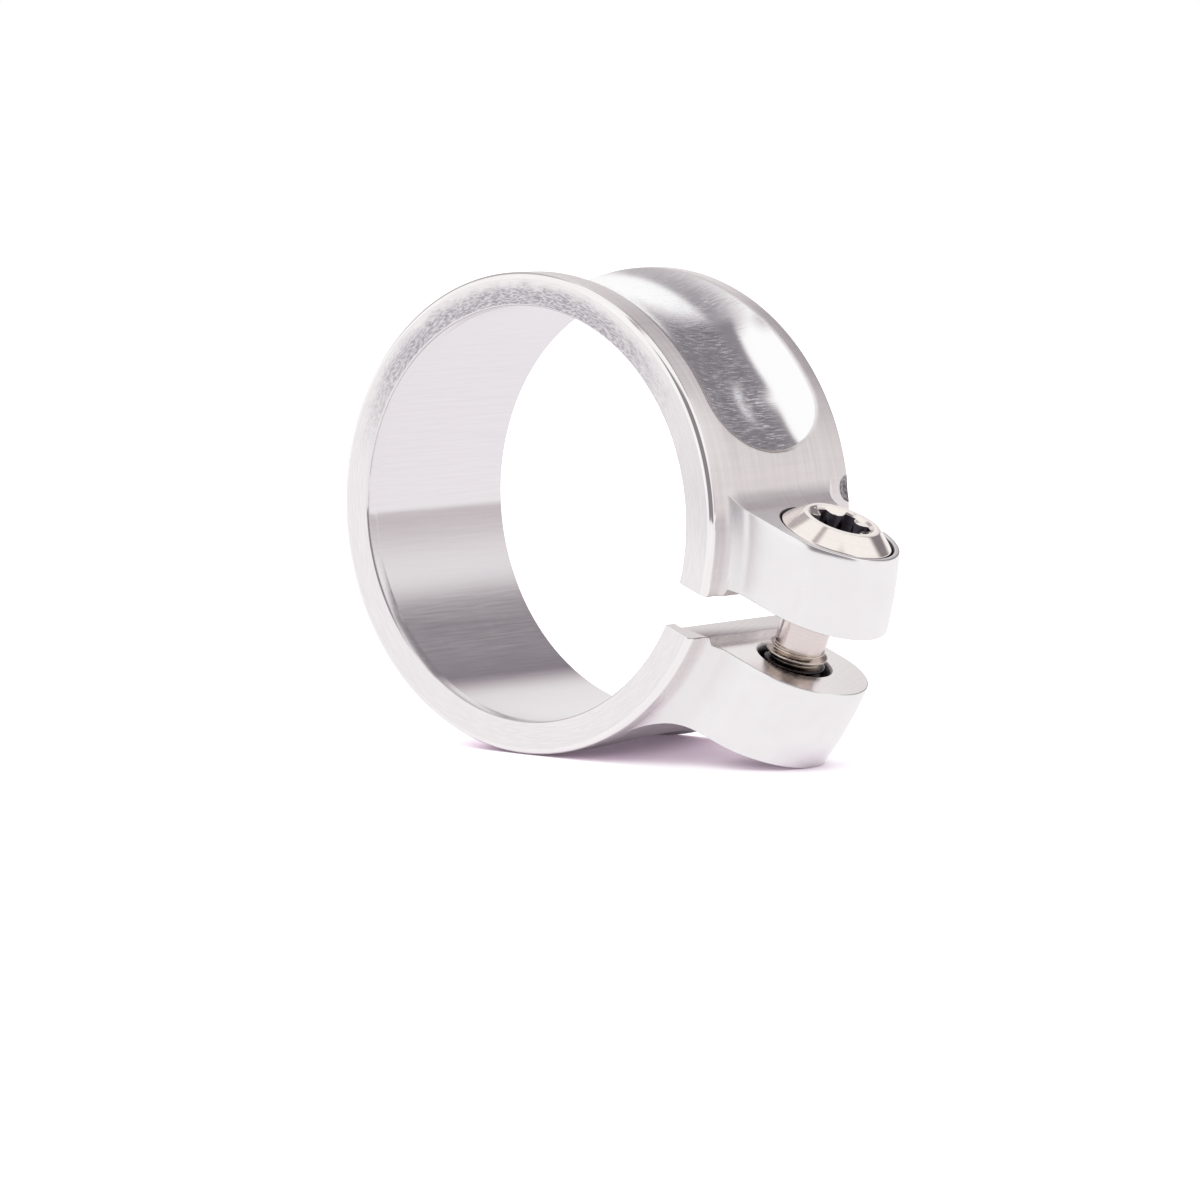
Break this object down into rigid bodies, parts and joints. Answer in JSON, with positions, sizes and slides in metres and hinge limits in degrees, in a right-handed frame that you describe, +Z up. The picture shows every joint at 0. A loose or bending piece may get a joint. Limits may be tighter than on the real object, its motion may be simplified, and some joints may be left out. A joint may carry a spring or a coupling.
{
  "type": "seatpost clamp",
  "caption": "Split bicycle seatpost clamp: slim machined collar with a stop lip, a milled outer groove and ears drawn together by a pinch bolt with a tapered head and lobed socket.",
  "frame": {"origin": "on the bore's axis, half-way along the wall that grips the seat tube", "axes": "+Y along the bore, away from the stop lip; +X out towards the ears; +Z up, with the band and the lower ear's tip on the floor"},
  "size_m": [0.0494, 0.018, 0.039],
  "materials": {
    "collar_metal": "bare machined aluminium, turned faces and a bright milled groove",
    "bolt_metal": "bare turned titanium with a warm tint"
  },
  "bodies": {
    "collar": {"clamp_collar": "collar_metal"},
    "bolt": {"clamp_bolt": "bolt_metal"}
  },
  "joints": [
    {"name": "bolt_turn", "type": "hinge", "parent": "collar", "child": "bolt", "pos_m": [0.0219, -0.0009, -0.00879], "axis": [0.3726, 0, 0.928], "range_deg": [-150, 390]}
  ]
}
